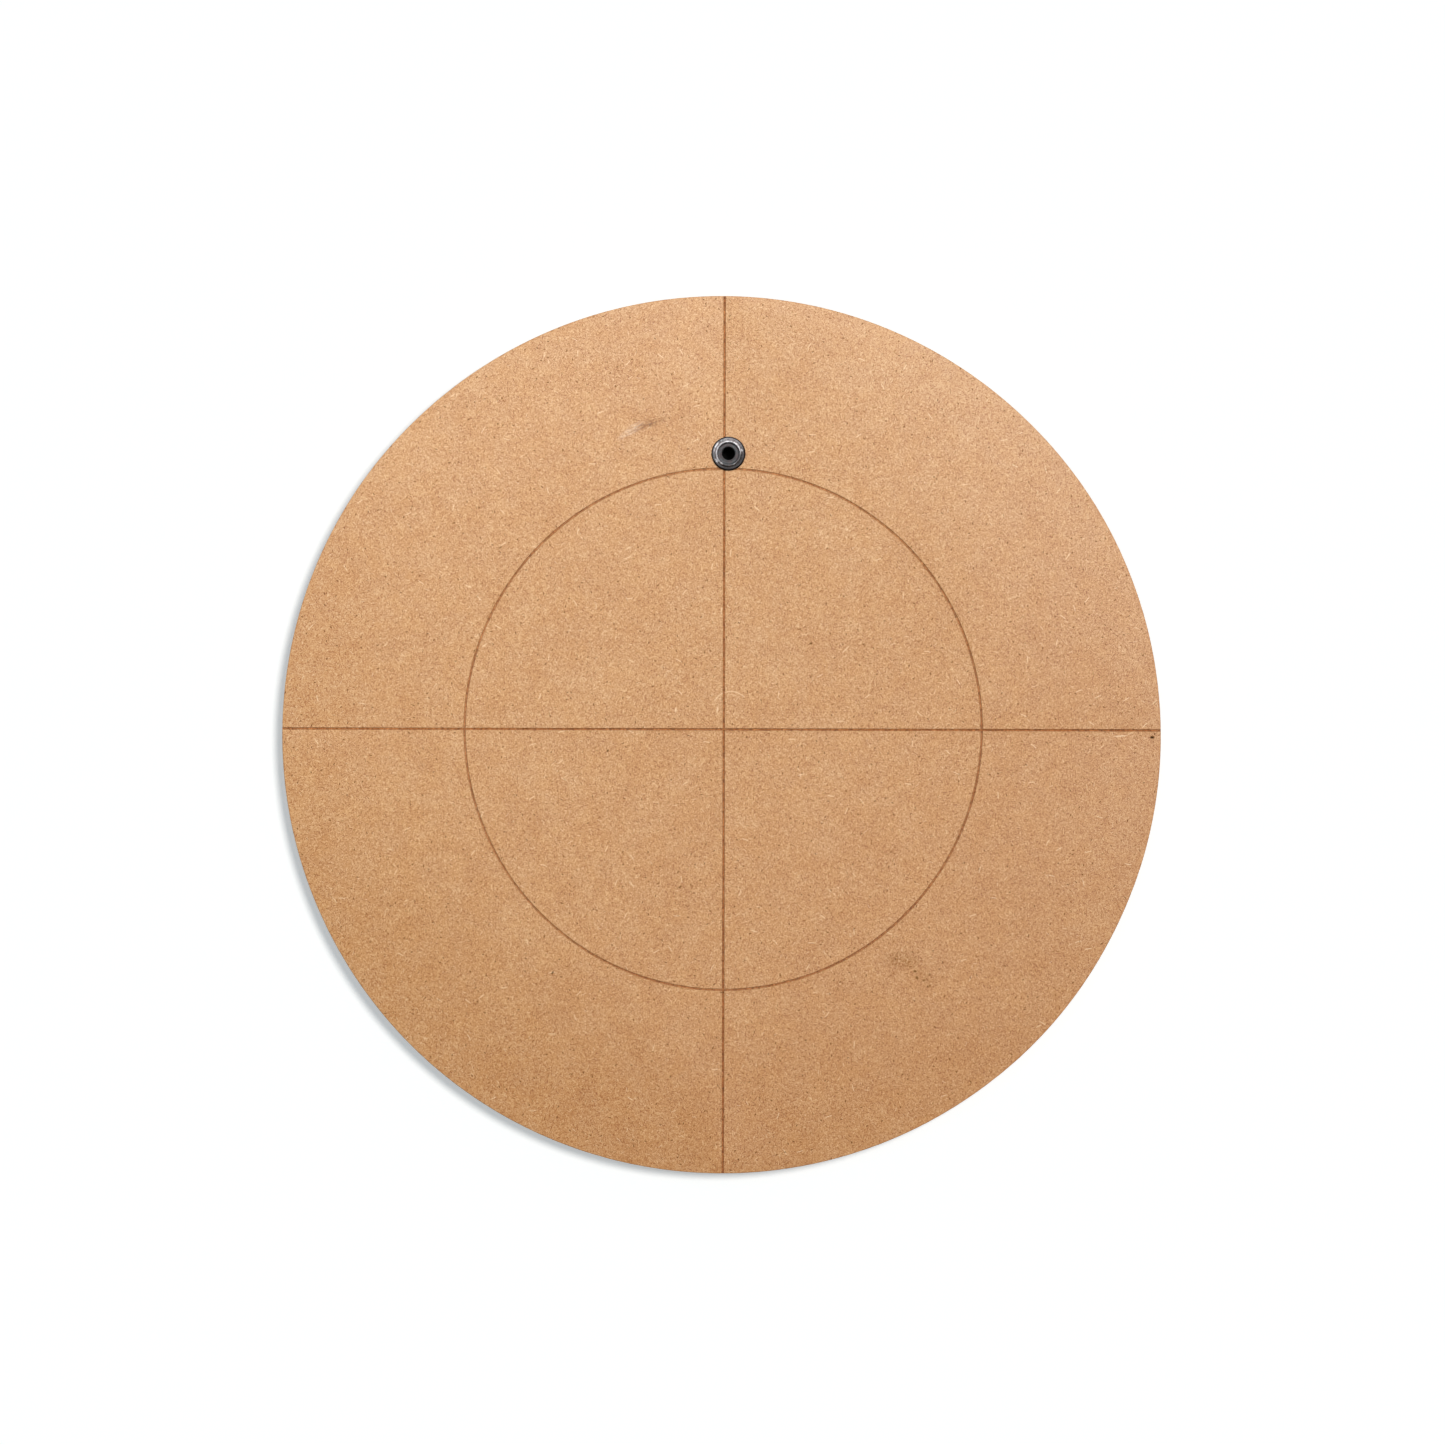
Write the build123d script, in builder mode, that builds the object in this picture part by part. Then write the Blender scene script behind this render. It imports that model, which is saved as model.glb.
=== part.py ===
"""Round crokinole board: a fibreboard disc scored with one ring and two crossing lines,
with a steel peg socket bolted through it and rubber feet glued underneath.

Units are millimetres. The origin is on the table, under the middle of the disc.
+Z is up and +Y points from the middle of the disc towards the peg socket.
"""

import os

from build123d import *

os.makedirs("parts", exist_ok=True)

# ---- Driving dimensions ------------------------------------------------------------------

board_diameter = 344.0
board_thickness = 6.0
board_edge_break = 0.35  # sanded corner, top and bottom

foot_height = 4.0
foot_top_diameter = 18.0  # glued to the board
foot_bottom_diameter = 15.0  # stands on the table
foot_bottom_fillet = 1.0
foot_circle_radius = 128.0
foot_count = 4
first_foot_angle = 45.0

ring_diameter = 203.2  # the 8 inch scoring ring
line_width = 1.0  # at the playing face
line_floor_width = 0.45
line_depth = 0.4

# The disc was cut by hand round a crossing that isn't quite in its middle, and the socket
# stands a little to one side of the line.
cross_x = 0.9
cross_y = 2.15
socket_x = cross_x + 1.6
socket_y = cross_y + 107.95

bore_diameter = 5.0
bore_mouth_chamfer = 0.3
barrel_diameter = 7.0
barrel_tail_chamfer = 0.35
head_diameter = 10.4
head_height = 1.1
head_edge_drop = 0.55  # how far the head's rounded edge falls
head_edge_width = 0.75  # and how far in it starts
head_recess = 0.25  # the face inside the head's raised lip lies this much lower
lip_foot_radius = 4.0  # where that face meets the lip
lip_slope_width = 0.35
socket_floor = 1.2  # steel left under the blind bore

washer_diameter = 13.3
washer_thickness = 0.9
washer_edge_fillet = 0.55
washer_bore_clearance = 0.1  # radial, round the barrel

back_washer_diameter = 14.0
back_washer_thickness = 0.8
back_washer_edge_fillet = 0.15

nut_across_flats = 11.0
nut_thickness = 1.8
nut_corner_chamfer = 0.45
tail_beyond_nut = 0.4

# ---- Levels and radii worked out from them ------------------------------------------------

board_bottom = foot_height
board_top = board_bottom + board_thickness
head_seat = board_top + washer_thickness
head_top = head_seat + head_height
head_face = head_top - head_recess
back_washer_bottom = board_bottom - back_washer_thickness
nut_bottom = back_washer_bottom - nut_thickness
tail_bottom = nut_bottom - tail_beyond_nut
bore_bottom = tail_bottom + socket_floor

board_radius = board_diameter / 2
bore_radius = bore_diameter / 2
barrel_radius = barrel_diameter / 2
head_radius = head_diameter / 2
clear_radius = barrel_radius + washer_bore_clearance

socket_axis = Axis((socket_x, socket_y, 0), (0, 0, 1))
socket_section = Plane(origin=(socket_x, socket_y, 0), x_dir=(1, 0, 0), z_dir=(0, -1, 0))


def save(piece, label):
    """Labels a finished piece and writes it as parts/label.step."""
    piece.part.label = label
    export_step(piece.part, f"parts/{label}.step")


def scored_section():
    """The tapered section of a scored line, its mouth on the sketch's X axis."""
    Polygon(
        (-line_width / 2, 0),
        (-line_floor_width / 2, -line_depth),
        (line_floor_width / 2, -line_depth),
        (line_width / 2, 0),
        align=None,
    )


# ---- Playing board -----------------------------------------------------------------------

with BuildPart() as playing_board:
    with BuildSketch(Plane.XY.offset(board_bottom)):
        Circle(board_radius)
    extrude(amount=board_thickness)
    chamfer(playing_board.edges().filter_by(GeomType.CIRCLE), board_edge_break)

    # Ring
    ring_section = Plane(
        origin=(cross_x + ring_diameter / 2, cross_y, board_top),
        x_dir=(1, 0, 0),
        z_dir=(0, -1, 0),
    )
    with BuildSketch(ring_section):
        scored_section()
    revolve(axis=Axis((cross_x, cross_y, 0), (0, 0, 1)), mode=Mode.SUBTRACT)

    # Line towards the socket, right across the disc
    with BuildSketch(Plane(origin=(cross_x, 0, board_top), x_dir=(1, 0, 0), z_dir=(0, -1, 0))):
        scored_section()
    extrude(amount=board_diameter, both=True, mode=Mode.SUBTRACT)

    # Line square to it
    with BuildSketch(Plane(origin=(0, cross_y, board_top), x_dir=(0, 1, 0), z_dir=(1, 0, 0))):
        scored_section()
    extrude(amount=board_diameter, both=True, mode=Mode.SUBTRACT)

    # Hole for the socket's barrel
    with Locations((socket_x, socket_y, board_top)):
        Hole(clear_radius)
save(playing_board, "playing_board")

# ---- Peg socket: a blind steel bush with a low round head and a raised lip ----------------

with BuildPart() as peg_socket:
    with BuildSketch(socket_section):
        with BuildLine():
            Polyline(
                (0, bore_bottom),
                (bore_radius, bore_bottom),
                (bore_radius, head_face - bore_mouth_chamfer),
                (bore_radius + bore_mouth_chamfer, head_face),
                (lip_foot_radius, head_face),
                (lip_foot_radius + lip_slope_width, head_top),
                (head_radius - head_edge_width, head_top),
            )
            EllipticalCenterArc(
                (head_radius - head_edge_width, head_top - head_edge_drop),
                head_edge_width,
                head_edge_drop,
                start_angle=90,
                arc_size=-90,
            )
            Polyline(
                (head_radius, head_top - head_edge_drop),
                (head_radius, head_seat),
                (barrel_radius, head_seat),
                (barrel_radius, tail_bottom + barrel_tail_chamfer),
                (barrel_radius - barrel_tail_chamfer, tail_bottom),
                (0, tail_bottom),
                (0, bore_bottom),
            )
        make_face()
    revolve(axis=socket_axis)
save(peg_socket, "peg_socket")

# ---- Rim washer: the rounded steel ring between head and board ----------------------------

with BuildPart() as rim_washer:
    with BuildSketch(Plane((socket_x, socket_y, board_top))):
        Circle(washer_diameter / 2)
        Circle(clear_radius, mode=Mode.SUBTRACT)
    extrude(amount=washer_thickness)
    top_rim = rim_washer.faces().sort_by(Axis.Z)[-1].edges().sort_by(SortBy.RADIUS)[-1]
    fillet(top_rim, washer_edge_fillet)
save(rim_washer, "rim_washer")

# ---- Back washer -------------------------------------------------------------------------

with BuildPart() as back_washer:
    with BuildSketch(Plane((socket_x, socket_y, back_washer_bottom))):
        Circle(back_washer_diameter / 2)
        Circle(clear_radius, mode=Mode.SUBTRACT)
    extrude(amount=back_washer_thickness)
    lower_rim = back_washer.faces().sort_by(Axis.Z)[0].edges().sort_by(SortBy.RADIUS)[-1]
    fillet(lower_rim, back_washer_edge_fillet)
save(back_washer, "back_washer")

# ---- Lock nut: thin hexagon nut with turned corners ---------------------------------------

with BuildPart() as lock_nut:
    with BuildSketch(Plane((socket_x, socket_y, nut_bottom))):
        RegularPolygon(nut_across_flats / 2, 6, major_radius=False)
    extrude(amount=nut_thickness)
    nut_corner_radius = nut_across_flats / 3**0.5
    with BuildSketch(socket_section):
        Polygon(
            (0, nut_bottom),
            (nut_across_flats / 2 - nut_corner_chamfer / 2, nut_bottom),
            (nut_corner_radius, nut_bottom + nut_corner_chamfer),
            (nut_corner_radius, back_washer_bottom),
            (0, back_washer_bottom),
            align=None,
        )
    revolve(axis=socket_axis, mode=Mode.INTERSECT)
    with Locations((socket_x, socket_y, back_washer_bottom)):
        Hole(barrel_radius)
save(lock_nut, "lock_nut")

# ---- Rubber feet -------------------------------------------------------------------------

foot_places = PolarLocations(foot_circle_radius, foot_count, start_angle=first_foot_angle)
for number, place in enumerate(foot_places.local_locations, start=1):
    foot_x, foot_y = place.position.X, place.position.Y
    with BuildPart() as rubber_foot:
        with BuildSketch(Plane((foot_x, foot_y, 0))):
            Circle(foot_bottom_diameter / 2)
        with BuildSketch(Plane((foot_x, foot_y, foot_height))):
            Circle(foot_top_diameter / 2)
        loft()
        fillet(rubber_foot.edges().filter_by(GeomType.CIRCLE).sort_by(Axis.Z)[0], foot_bottom_fillet)
    save(rubber_foot, f"rubber_foot_{number}")
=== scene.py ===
"""Looks for the crokinole board: finer meshes, procedural materials, floor, light and camera.

Lengths in the tables and profiles are millimetres; make_mesh() turns them into metres.
"""

import math
from types import SimpleNamespace

import bmesh
import bpy
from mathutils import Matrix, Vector, noise


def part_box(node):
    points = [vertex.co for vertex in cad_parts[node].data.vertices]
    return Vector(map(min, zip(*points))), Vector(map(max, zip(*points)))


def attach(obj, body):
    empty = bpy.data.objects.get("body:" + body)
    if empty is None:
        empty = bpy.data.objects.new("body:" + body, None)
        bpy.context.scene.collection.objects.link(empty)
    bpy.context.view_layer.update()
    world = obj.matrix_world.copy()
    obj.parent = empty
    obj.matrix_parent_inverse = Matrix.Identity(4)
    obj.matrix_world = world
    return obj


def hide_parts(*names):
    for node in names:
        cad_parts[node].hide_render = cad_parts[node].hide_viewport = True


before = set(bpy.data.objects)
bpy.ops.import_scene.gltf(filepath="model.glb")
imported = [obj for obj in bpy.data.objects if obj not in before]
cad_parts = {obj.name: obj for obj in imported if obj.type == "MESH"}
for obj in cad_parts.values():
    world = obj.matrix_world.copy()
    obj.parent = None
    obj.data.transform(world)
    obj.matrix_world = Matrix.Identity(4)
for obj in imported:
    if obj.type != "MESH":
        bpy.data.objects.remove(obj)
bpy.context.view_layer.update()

MM = 0.001
BODY = "root"

# ---- Sizes read from the frame -------------------------------------------------------------


def node_box_mm(node):
    """A CAD node's lowest and highest corner in millimetres."""
    low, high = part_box(node)
    return low / MM, high / MM


board_low, board_high = node_box_mm("playing_board")
socket_low, socket_high = node_box_mm("peg_socket")
flange_low, flange_high = node_box_mm("rim_washer")
back_low, back_high = node_box_mm("back_washer")
nut_low, nut_high = node_box_mm("lock_nut")

BOARD_RADIUS = board_high.x
BOARD_BOTTOM, BOARD_TOP = board_low.z, board_high.z
SOCKET = (socket_low + socket_high) / 2
HEAD_TOP, TAIL_BOTTOM = socket_high.z, socket_low.z
HEAD_SEAT = flange_high.z

# The scoring, as in the CAD model.
CROSS = Vector((0.9, 2.15))
RING_RADIUS = 101.6
# Scored by hand, the ring is a hair oval and a hair off the crossing.
RING_CENTRE = Vector((0.65, 2.2))
RING_RADII = Vector((101.2, 102.0))
LINE_HALF_WIDTH = 0.5
LINE_FLOOR_HALF_WIDTH = 0.225
LINE_DEPTH = 0.4

# ---- Mesh helpers --------------------------------------------------------------------------


SHARP_DEGREES = 35.0  # edges that turn further than this stay hard


def wobble(x, y, z, scale, seed=0.0):
    """Smooth noise from -1 to 1; scale is its period in millimetres."""
    return noise.noise(Vector((x / scale + seed, y / scale - seed, z / scale + 2 * seed)))


def make_mesh(name, verts, faces):
    """A new object from vertices in millimetres, smooth but for its hard edges."""
    mesh = bpy.data.meshes.new(name)
    mesh.from_pydata([Vector(v) * MM for v in verts], [], faces)
    mesh.validate()
    piece = bpy.data.objects.new(name, mesh)
    bpy.context.scene.collection.objects.link(piece)
    finish_mesh(mesh, SHARP_DEGREES)
    return piece


def finish_mesh(mesh, sharp_degrees):
    """Faces outwards, smooth shading with hard edges kept."""
    bm = bmesh.new()
    bm.from_mesh(mesh)
    bmesh.ops.recalc_face_normals(bm, faces=bm.faces)
    bm.to_mesh(mesh)
    bm.free()
    mesh.polygons.foreach_set("use_smooth", [True] * len(mesh.polygons))
    mesh.set_sharp_from_angle(angle=math.radians(sharp_degrees))


def lathe(name, profile, centre, segments, shape=None, caps=False):
    """A closed mesh turned round a vertical axis from (radius, height) points.

    With caps, the profile is open and its two ends are closed with flat faces; without, the
    profile is a loop, as a washer's is. shape(angle, radius, height) may move a vertex.
    """
    verts, faces = [], []
    rows = len(profile)
    for radius, height in profile:
        for step in range(segments):
            angle = 2 * math.pi * step / segments
            r, z = shape(angle, radius, height) if shape else (radius, height)
            verts.append((centre[0] + r * math.cos(angle), centre[1] + r * math.sin(angle), z))
    for row in range(rows - 1 if caps else rows):
        near, far = row * segments, (row + 1) % rows * segments
        for step in range(segments):
            ahead = (step + 1) % segments
            faces.append((near + step, near + ahead, far + ahead, far + step))
    if caps:
        faces.append(tuple(range(segments)))
        faces.append(tuple(range((rows - 1) * segments, rows * segments)))
    return make_mesh(name, verts, faces)


def arc(centre_r, centre_z, radius_r, radius_z, start, end, steps):
    """Profile points along an ellipse's arc, in degrees."""
    points = []
    for i in range(steps + 1):
        t = math.radians(start + (end - start) * i / steps)
        points.append((centre_r + radius_r * math.cos(t), centre_z + radius_z * math.sin(t)))
    return points


def rows_between(start, end, steps):
    """Evenly spaced profile points from start up to, but not including, end."""
    return [
        (start[0] + (end[0] - start[0]) * i / steps, start[1] + (end[1] - start[1]) * i / steps)
        for i in range(steps)
    ]


def place(piece, nodes, slot):
    """The piece rides on the body and stands for its CAD nodes; slot is not used."""
    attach(piece, BODY)
    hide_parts(*nodes)


# ---- Board ---------------------------------------------------------------------------------

RIM_SEGMENTS = 1440
RIM_BASE_RADIUS = BOARD_RADIUS - 0.2
RIM_LIMIT = BOARD_RADIUS - 0.005
# Where the hand-cut rim swells or falls short: angle and half-width in degrees, height in mm.
RIM_SWELLS = (
    (0, 40, 0.12),
    (180, 40, 0.12),
    (150, 12, 0.2),
    (320, 10, 0.2),
    (350, 10, 0.15),
    (50, 14, -0.2),
    (262, 24, -0.2),
)
# The cut face's fur: how far it stands out and its period in millimetres, and its seed.
RIM_FUR = ((0.035, 0.9, 0.0), (0.03, 3.1, 5.0))
EDGE_ROUNDING = 0.4
BOARD_SHARP_DEGREES = 30.0
HOLE_RADIUS = 3.6
HOLE_SEGMENTS = 64
CUTTER_OVERSHOOT = 0.3  # how far a groove's cutter stands above the face
LINE_OVERRUN = 3.0  # how far a straight cutter runs past the rim
LINE_STEPS = 240
RING_STEPS = 480


def rim_shape(angle, radius, height):
    """The rim's outline isn't a perfect circle, and its cut face is slightly furry."""
    degrees = math.degrees(angle)
    swell = 0.0
    for centre, width, amount in RIM_SWELLS:
        off = (degrees - centre + 180) % 360 - 180
        swell += amount * math.exp(-((off / width) ** 2))
    x, y = BOARD_RADIUS * math.cos(angle), BOARD_RADIUS * math.sin(angle)
    fur = sum(amount * wobble(x, y, height, period, seed) for amount, period, seed in RIM_FUR)
    return min(radius + swell + fur, RIM_LIMIT), height


def groove_cutter(name, path, closed):
    """A closed trapezoid-section tube along a path of (x, y) points, for cutting a scored line."""
    verts, faces = [], []
    count = len(path)
    slope = (LINE_HALF_WIDTH - LINE_FLOOR_HALF_WIDTH) / LINE_DEPTH
    for i, (x, y) in enumerate(path):
        before = path[(i - 1) % count] if closed or i else path[i]
        after = path[(i + 1) % count] if closed or i < count - 1 else path[i]
        along = Vector((after[0] - before[0], after[1] - before[1])).normalized()
        side = Vector((-along.y, along.x))
        width = 1 + 0.13 * wobble(x, y, 0.0, 2.3, 11.0) + 0.08 * wobble(x, y, 0.0, 0.8, 3.0)
        depth = LINE_DEPTH * (1 + 0.15 * wobble(x, y, 0.0, 4.0, 7.0))
        mouth, floor = LINE_HALF_WIDTH * width + slope * CUTTER_OVERSHOOT, LINE_FLOOR_HALF_WIDTH * width
        left = ((-mouth, CUTTER_OVERSHOOT), (-floor, -depth))
        right = ((floor, -depth), (mouth, CUTTER_OVERSHOOT))
        for offset, z in left + right:
            verts.append((x + side.x * offset, y + side.y * offset, BOARD_TOP + z))
    for i in range(count if closed else count - 1):
        ahead = (i + 1) % count
        for k in range(4):
            n = (k + 1) % 4
            faces.append((4 * i + k, 4 * i + n, 4 * ahead + n, 4 * ahead + k))
    if not closed:
        faces.append((0, 1, 2, 3))
        faces.append(tuple(4 * (count - 1) + k for k in range(4)))
    return make_mesh(name, verts, faces)


def cut(piece, cutters):
    """Takes each closed cutter out of the piece and removes the cutter."""
    for cutter in cutters:
        modifier = piece.modifiers.new("cut", "BOOLEAN")
        modifier.operation = "DIFFERENCE"
        modifier.solver = "EXACT"
        modifier.object = cutter
    graph = bpy.context.evaluated_depsgraph_get()
    mesh = bpy.data.meshes.new_from_object(piece.evaluated_get(graph))
    piece.modifiers.clear()
    piece.data = mesh
    for cutter in cutters:
        bpy.data.objects.remove(cutter)


def straight_path(along_x, offset):
    """A scored line's points, in small steps from beyond one rim to beyond the other."""
    reach = BOARD_RADIUS + LINE_OVERRUN
    places = [-reach + 2 * reach * i / LINE_STEPS for i in range(LINE_STEPS + 1)]
    return [(p, offset) if along_x else (offset, p) for p in places]


def ring_path():
    """The scored ring's points."""
    turns = [2 * math.pi * i / RING_STEPS for i in range(RING_STEPS)]
    return [
        (RING_CENTRE.x + RING_RADII.x * math.cos(turn), RING_CENTRE.y + RING_RADII.y * math.sin(turn))
        for turn in turns
    ]


def build_board():
    """The disc, with its sanded edge, cut rim, scored lines and the socket's hole."""
    inner = RIM_BASE_RADIUS - EDGE_ROUNDING
    rim_foot, rim_head = BOARD_BOTTOM + 1.1, BOARD_TOP - 0.5
    profile = (
        arc(inner, BOARD_BOTTOM + EDGE_ROUNDING, EDGE_ROUNDING, EDGE_ROUNDING, -90, 0, 4)
        + rows_between((RIM_BASE_RADIUS, rim_foot), (RIM_BASE_RADIUS, rim_head), 7)
        + arc(inner, BOARD_TOP - EDGE_ROUNDING, EDGE_ROUNDING, EDGE_ROUNDING, 0, 90, 4)
    )
    board = lathe("scored_fibreboard", profile, (0, 0), RIM_SEGMENTS, rim_shape, caps=True)
    hole_wall = [(HOLE_RADIUS, BOARD_BOTTOM - 1), (HOLE_RADIUS, BOARD_TOP + 1)]
    cutters = [
        groove_cutter("ring_cutter", ring_path(), True),
        groove_cutter("upright_cutter", straight_path(False, CROSS.x), False),
        groove_cutter("level_cutter", straight_path(True, CROSS.y), False),
        lathe("hole_cutter", hole_wall, SOCKET, HOLE_SEGMENTS, caps=True),
    ]
    cut(board, cutters)
    finish_mesh(board.data, BOARD_SHARP_DEGREES)
    return board


# The bake map's layout, in map widths: the playing face takes the big circle (middle and
# radius), the underside the small one, and the rim and the hole's wall the strips beside them.
FACE_MAP = (0.405, 0.405, 0.40)
UNDER_MAP = (0.825, 0.825, 0.17)
STRIP_COUNT = 16
STRIP_ORIGIN = (0.815, 0.01)
STRIP_LENGTH = 0.175
STRIP_PITCH = 0.035
STRIP_HEIGHT = 0.026
HOLE_MAP = (0.02, 0.93, 0.10, 0.05)
FLAT_NORMAL = 0.3  # a face whose normal's height is over this counts as flat


def turn_share(x, y):
    """The heading of a point as a share of a whole turn, from 0 to 1."""
    return (math.atan2(y, x) / math.pi + 1) / 2


def flat_uv(circle, across, up):
    """A point of the face or the underside on its circle of the map."""
    u, v, size = circle
    return u + size * across / BOARD_RADIUS, v + size * up / BOARD_RADIUS


def hole_uv(middle, point, rise):
    """A point of the hole's wall; middle is its face's middle, which keeps the face whole."""
    turn = turn_share(*(middle - SOCKET).xy)
    own = turn_share(*(point - SOCKET).xy)
    own += round(turn - own)
    return HOLE_MAP[0] + HOLE_MAP[2] * own, HOLE_MAP[1] + HOLE_MAP[3] * rise


def rim_uv(middle, point, rise):
    """A point of the rim, which is laid out as strips one above another."""
    turn = turn_share(*middle.xy) * STRIP_COUNT
    strip = min(int(turn), STRIP_COUNT - 1)
    own = turn_share(*point.xy) * STRIP_COUNT
    own += STRIP_COUNT * round((turn - own) / STRIP_COUNT)
    return (
        STRIP_ORIGIN[0] + STRIP_LENGTH * (own - strip),
        STRIP_ORIGIN[1] + STRIP_PITCH * strip + STRIP_HEIGHT * rise,
    )


def unwrap_board(board):
    """Gives the board its own bake layout, with most of the map on the playing face."""
    mesh = board.data
    layer = mesh.uv_layers.new(name="OFBake")
    for polygon in mesh.polygons:
        middle = polygon.center / MM
        for loop in polygon.loop_indices:
            point = mesh.vertices[mesh.loops[loop].vertex_index].co / MM
            rise = (point.z - BOARD_BOTTOM) / (BOARD_TOP - BOARD_BOTTOM)
            if polygon.normal.z < -FLAT_NORMAL:
                uv = flat_uv(UNDER_MAP, -point.x, point.y)
            elif polygon.normal.z > FLAT_NORMAL:
                uv = flat_uv(FACE_MAP, point.x, point.y)
            elif (middle - SOCKET).xy.length < HOLE_RADIUS + 0.1:
                uv = hole_uv(middle, point, rise)
            elif middle.xy.length > BOARD_RADIUS - 1:
                uv = rim_uv(middle, point, rise)
            else:
                uv = flat_uv(FACE_MAP, point.x, point.y)
            layer.data[loop].uv = uv


# ---- Steel fitting -------------------------------------------------------------------------

BORE_RADIUS = 2.5
BORE_BOTTOM = TAIL_BOTTOM + 1.2
BARREL_RADIUS = 3.5
HEAD_RADIUS = (socket_high.x - socket_low.x) / 2
HEAD_RECESS = 0.25
HEAD_SEGMENTS = 240
THREAD_PITCH = 1.0
THREAD_DEPTH = 0.3
LIP_FOOT = 4.3  # the head is dented outside this radius


def socket_shape(angle, radius, height):
    """Dents in the head's worn edge and a thread on the tail."""
    x, y = radius * math.cos(angle), radius * math.sin(angle)
    if height > HEAD_SEAT + 0.05 and radius > LIP_FOOT:
        dent = max(0.0, wobble(x, y, height, 1.1, 9.0) - 0.15) * 0.16
        ripple = 0.02 * wobble(x, y, height, 0.45, 2.0)
        fall = (radius - LIP_FOOT) / 0.9
        return radius - (dent + abs(ripple)) * fall, height - dent * 0.5 * fall
    if TAIL_BOTTOM + 0.3 < height < BOARD_BOTTOM and radius > BORE_RADIUS + 0.2:
        turn = (height / THREAD_PITCH + angle / (2 * math.pi)) % 1
        valley = abs(2 * turn - 1)
        return radius - THREAD_DEPTH * valley, height
    return radius, height


def build_socket():
    """The bush: blind bore, dished face, raised lip and threaded barrel."""
    face = HEAD_TOP - HEAD_RECESS
    mouth_depth = 0.32
    mouth = [
        (BORE_RADIUS, face - mouth_depth),
        (BORE_RADIUS + 0.02, face - 0.20),
        (BORE_RADIUS + 0.08, face - 0.10),
        (BORE_RADIUS + 0.18, face - 0.03),
        (BORE_RADIUS + 0.30, face),
    ]
    dish = [
        (BORE_RADIUS + 0.45, face - 0.01),
        (3.2, face - 0.03),
        (3.6, face - 0.04),
        (3.9, face - 0.03),
        (4.02, face + 0.01),
        (4.12, face + 0.09),
        (4.24, face + 0.18),
        (4.36, face + 0.235),
    ]
    # The raised lip: radius short of the head's, and how far it has dropped from the top.
    lip = [
        (HEAD_RADIUS - inwards, HEAD_TOP - drop)
        for inwards, drop in (
            (0.72, 0.0),
            (0.58, 0.004),
            (0.45, 0.02),
            (0.34, 0.05),
            (0.24, 0.10),
            (0.16, 0.17),
            (0.09, 0.27),
            (0.04, 0.39),
            (0.01, 0.50),
            (0.0, 0.60),
        )
    ]
    profile = (
        [(0.4, BORE_BOTTOM), (BORE_RADIUS - 0.1, BORE_BOTTOM)]
        + rows_between((BORE_RADIUS, BORE_BOTTOM + 0.1), (BORE_RADIUS, face - mouth_depth), 6)
        + mouth
        + dish
        + lip
        + [
            (HEAD_RADIUS, HEAD_SEAT + 0.2),
            (HEAD_RADIUS - 0.05, HEAD_SEAT + 0.06),
            (HEAD_RADIUS - 0.15, HEAD_SEAT),
        ]
        + [(BARREL_RADIUS, HEAD_SEAT)]
        + rows_between((BARREL_RADIUS, BOARD_BOTTOM), (BARREL_RADIUS, TAIL_BOTTOM + 0.35), 40)
        + [(BARREL_RADIUS - 0.05, TAIL_BOTTOM + 0.3), (BARREL_RADIUS - 0.35, TAIL_BOTTOM)]
        + [(1.2, TAIL_BOTTOM), (0.4, TAIL_BOTTOM + 0.12)]
    )
    return lathe("socket_bush", profile, SOCKET, HEAD_SEGMENTS, socket_shape, caps=True)


FLANGE_RADIUS = (flange_high.x - flange_low.x) / 2
FLANGE_BORE = 3.6
WASHER_SEGMENTS = 144
NUT_SEGMENTS = 240
FOOT_SEGMENTS = 128


def flange_shape(angle, radius, height):
    """Nicks and dents round the flange's outer edge."""
    x, y = radius * math.cos(angle), radius * math.sin(angle)
    if height > flange_low.z + 0.1 and radius > 5.0:
        dent = max(0.0, wobble(x, y, height, 0.9, 4.0) - 0.1) * 0.22
        fall = min((radius - 5.0) / 1.2, 1.0)
        return radius - dent * fall, height - dent * 0.6 * fall
    return radius, height


def build_flange():
    """The ring under the head, with a rounded outer edge."""
    low, high = flange_low.z, flange_high.z
    drop, width = 0.6, 0.65
    profile = (
        [(FLANGE_BORE, low), (FLANGE_RADIUS - 0.12, low), (FLANGE_RADIUS - 0.03, low + 0.04)]
        + [(FLANGE_RADIUS, low + 0.12)]
        + arc(FLANGE_RADIUS - width, high - drop, width, drop, 0, 90, 9)
        + [(5.6, high), (5.3, high), (4.6, high)]
        + [(FLANGE_BORE + 0.1, high), (FLANGE_BORE, high - 0.1)]
    )
    return lathe("flange_ring", profile, SOCKET, HEAD_SEGMENTS, flange_shape)


def build_back_washer():
    """A stamped washer: its outer edge is rounded below, nearly square above and uneven."""
    low, high = back_low.z, back_high.z
    radius = (back_high.x - back_low.x) / 2
    rounding = 0.18
    profile = (
        [(FLANGE_BORE + 0.06, low), (4.6, low), (6.0, low)]
        + arc(radius - rounding, low + rounding, rounding, rounding, -90, 0, 4)
        + [(radius, high - 0.1), (radius - 0.05, high)]
        + [(FLANGE_BORE, high), (FLANGE_BORE, low + 0.06)]
    )

    def stamped(angle, r, z):
        x, y = r * math.cos(angle), r * math.sin(angle)
        burr = 0.02 * wobble(x, y, z, 1.2, 6.0) if r > 5 else 0.0
        return min(r + burr - 0.02, radius) if r > 6.5 else r, z

    return lathe("back_washer_ring", profile, SOCKET, WASHER_SEGMENTS, stamped)


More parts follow.
